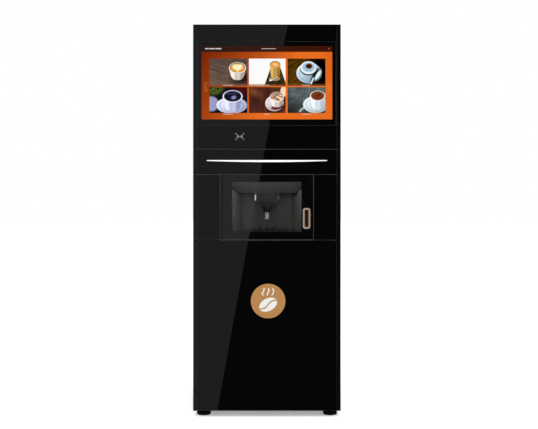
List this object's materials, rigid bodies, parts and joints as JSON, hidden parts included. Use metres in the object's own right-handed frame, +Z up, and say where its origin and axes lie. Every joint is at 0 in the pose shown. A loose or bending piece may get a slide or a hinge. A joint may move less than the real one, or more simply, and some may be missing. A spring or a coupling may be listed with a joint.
{
  "type": "hot coffee vending machine",
  "caption": "Tall free-standing hot drink vending machine with a wide touch screen, a glazed serving niche behind a small door, and two full-width glass doors on levelling feet.",
  "frame": {"origin": "middle of the footprint on the floor", "axes": "+Z up, front faces -Y, +X to the right seen from the front"},
  "size_m": [0.667, 0.69, 1.776],
  "materials": {
    "cabinet_paint": "fine textured satin black powder coat",
    "frame_steel": "zinc-plated sheet",
    "back_panel": "satin dark grey",
    "black_glass": "polished glass painted black behind",
    "clear_glass": "polished clear glass",
    "picture": "lit display",
    "border_black": "smooth black border",
    "liner_grey": "satin dark grey moulding",
    "outlet_black": "satin black moulding",
    "chrome": "bright chrome",
    "polished_trim": "polished trim bar",
    "copper": "brushed copper",
    "badge_copper": "brushed copper gold",
    "lamp": "lit lamp lens",
    "foot_rubber": "matte black rubber",
    "clear_plastic": "translucent plastic",
    "smoke_plastic": "smoked translucent plastic",
    "white_plastic": "white food-grade plastic",
    "blue_plastic": "blue moulding",
    "brown_plastic": "brown moulding",
    "dark_plastic": "dark grey moulding",
    "stainless": "brushed stainless steel",
    "copper_pipe": "drawn copper pipe",
    "box_paint": "light grey paint",
    "switch_red": "red rocker key"
  },
  "bodies": {
    "cabinet": {"base_tray": "cabinet_paint", "side_panel_left": "cabinet_paint", "side_panel_right": "cabinet_paint", "rear_panel": "back_panel", "top_cover": "cabinet_paint", "chassis_frame": "frame_steel", "niche_liner": "liner_grey", "niche_lamps": "lamp", "bean_hopper": "smoke_plastic", "grinder": "dark_plastic", "brew_unit": "dark_plastic", "milk_canister": "clear_plastic", "cocoa_canister": "clear_plastic", "milk_bowl": "white_plastic", "cocoa_bowl": "white_plastic", "boiler": "stainless", "water_pump": "stainless", "water_pipes": "copper_pipe", "control_box": "box_paint", "power_inlet": "dark_plastic", "rear_screws": "stainless"},
    "upper_door": {"upper_door_frame": "cabinet_paint", "header_glass": "black_glass", "touch_glass": "clear_glass", "display_panel": "picture", "payment_reader": "dark_plastic", "bar_fascia": "black_glass", "trim_bar": "polished_trim", "left_fascia": "black_glass", "right_fascia": "black_glass"},
    "serving_door": {"serving_door_frame": "border_black", "serving_door_glass": "clear_glass", "serving_door_pull": "copper"},
    "lower_door": {"lower_door_frame": "cabinet_paint", "lower_door_glass": "black_glass", "door_badge": "badge_copper"},
    "upper_lock": {"upper_lock": "stainless"},
    "lower_lock": {"lower_lock": "stainless"},
    "outlet": {"outlet_head": "outlet_black", "drink_spouts": "chrome"},
    "drip_tray": {"drip_tray": "dark_plastic"},
    "drip_grid": {"drip_grid": "outlet_black"},
    "hopper_lid": {"hopper_lid": "dark_plastic"},
    "milk_lid": {"milk_lid": "blue_plastic"},
    "cocoa_lid": {"cocoa_lid": "brown_plastic"},
    "grinder_burr": {"grinder_burr": "stainless"},
    "brew_piston": {"brew_piston": "stainless"},
    "milk_auger": {"milk_auger": "white_plastic"},
    "cocoa_auger": {"cocoa_auger": "white_plastic"},
    "milk_whipper": {"milk_whipper": "blue_plastic"},
    "cocoa_whipper": {"cocoa_whipper": "blue_plastic"},
    "fan_rotor": {"fan_rotor": "dark_plastic"},
    "power_switch": {"power_switch": "switch_red"},
    "water_tank": {"water_tank": "clear_plastic"},
    "waste_bucket": {"waste_bucket": "dark_plastic"},
    "grounds_bin": {"grounds_bin": "dark_plastic"},
    "foot_front_left": {"foot_front_left": "foot_rubber"},
    "foot_front_right": {"foot_front_right": "foot_rubber"},
    "foot_rear_left": {"foot_rear_left": "foot_rubber"},
    "foot_rear_right": {"foot_rear_right": "foot_rubber"}
  },
  "joints": [
    {"name": "upper_door_hinge", "type": "hinge", "parent": "cabinet", "child": "upper_door", "pos_m": [-0.3265, -0.308, 1.285], "axis": [0, 0, -1], "range_deg": [0, 110]},
    {"name": "lower_door_hinge", "type": "hinge", "parent": "cabinet", "child": "lower_door", "pos_m": [-0.3265, -0.308, 0.412], "axis": [0, 0, -1], "range_deg": [0, 110]},
    {"name": "serving_door_hinge", "type": "hinge", "parent": "upper_door", "child": "serving_door", "pos_m": [-0.205, -0.337, 0.947], "axis": [0, 0, -1], "range_deg": [0, 95]},
    {"name": "upper_lock_turn", "type": "hinge", "parent": "upper_door", "child": "upper_lock", "pos_m": [0.3235, -0.321, 1], "axis": [-1, 0, 0], "range_deg": [0, 90]},
    {"name": "lower_lock_turn", "type": "hinge", "parent": "lower_door", "child": "lower_lock", "pos_m": [0.3235, -0.321, 0.45], "axis": [-1, 0, 0], "range_deg": [0, 90]},
    {"name": "outlet_height", "type": "slide", "parent": "cabinet", "child": "outlet", "axis": [0, 0, 1], "range_m": [0, 0.09]},
    {"name": "drip_tray_lift", "type": "slide", "parent": "cabinet", "child": "drip_tray", "axis": [0, 0, 1], "range_m": [0, 0.03]},
    {"name": "drip_grid_lift", "type": "slide", "parent": "drip_tray", "child": "drip_grid", "axis": [0, 0, 1], "range_m": [0, 0.03]},
    {"name": "hopper_lid_hinge", "type": "hinge", "parent": "cabinet", "child": "hopper_lid", "pos_m": [0.167, 0.036, 1.5374], "axis": [-1, 0, 0], "range_deg": [0, 85]},
    {"name": "milk_lid_hinge", "type": "hinge", "parent": "cabinet", "child": "milk_lid", "pos_m": [-0.239, 0.046, 1.5374], "axis": [-1, 0, 0], "range_deg": [0, 80]},
    {"name": "cocoa_lid_hinge", "type": "hinge", "parent": "cabinet", "child": "cocoa_lid", "pos_m": [-0.125, 0.046, 1.5374], "axis": [-1, 0, 0], "range_deg": [0, 80]},
    {"name": "burr_spin", "type": "hinge", "parent": "cabinet", "child": "grinder_burr", "pos_m": [0.167, -0.055, 1.27], "axis": [0, 0, 1], "continuous": true},
    {"name": "piston_stroke", "type": "slide", "parent": "cabinet", "child": "brew_piston", "axis": [0, 0, -1], "range_m": [0, 0.045]},
    {"name": "milk_auger_spin", "type": "hinge", "parent": "cabinet", "child": "milk_auger", "pos_m": [-0.239, -0.06, 1.351], "axis": [0, 1, 0], "continuous": true},
    {"name": "cocoa_auger_spin", "type": "hinge", "parent": "cabinet", "child": "cocoa_auger", "pos_m": [-0.125, -0.06, 1.351], "axis": [0, 1, 0], "continuous": true},
    {"name": "milk_whipper_spin", "type": "hinge", "parent": "cabinet", "child": "milk_whipper", "pos_m": [-0.239, -0.187, 1.189], "axis": [0, 1, 0], "continuous": true},
    {"name": "cocoa_whipper_spin", "type": "hinge", "parent": "cabinet", "child": "cocoa_whipper", "pos_m": [-0.125, -0.187, 1.189], "axis": [0, 1, 0], "continuous": true},
    {"name": "fan_spin", "type": "hinge", "parent": "cabinet", "child": "fan_rotor", "pos_m": [-0.15, 0.327, 1.546], "axis": [0, 1, 0], "continuous": true},
    {"name": "power_switch_rock", "type": "hinge", "parent": "cabinet", "child": "power_switch", "pos_m": [0.247, 0.3375, 0.282], "axis": [1, 0, 0], "range_deg": [-8, 8]},
    {"name": "water_tank_lift", "type": "slide", "parent": "cabinet", "child": "water_tank", "axis": [0, 0, 1], "range_m": [0, 0.03]},
    {"name": "waste_bucket_lift", "type": "slide", "parent": "cabinet", "child": "waste_bucket", "axis": [0, 0, 1], "range_m": [0, 0.03]},
    {"name": "grounds_bin_lift", "type": "slide", "parent": "cabinet", "child": "grounds_bin", "axis": [0, 0, 1], "range_m": [0, 0.03]},
    {"name": "foot_front_left_turn", "type": "hinge", "parent": "cabinet", "child": "foot_front_left", "pos_m": [-0.2885, -0.28, 0.013], "axis": [0, 0, 1], "continuous": true},
    {"name": "foot_front_right_turn", "type": "hinge", "parent": "cabinet", "child": "foot_front_right", "pos_m": [0.2885, -0.28, 0.013], "axis": [0, 0, 1], "continuous": true},
    {"name": "foot_rear_left_turn", "type": "hinge", "parent": "cabinet", "child": "foot_rear_left", "pos_m": [-0.2885, 0.3, 0.013], "axis": [0, 0, 1], "continuous": true},
    {"name": "foot_rear_right_turn", "type": "hinge", "parent": "cabinet", "child": "foot_rear_right", "pos_m": [0.2885, 0.3, 0.013], "axis": [0, 0, 1], "continuous": true}
  ]
}
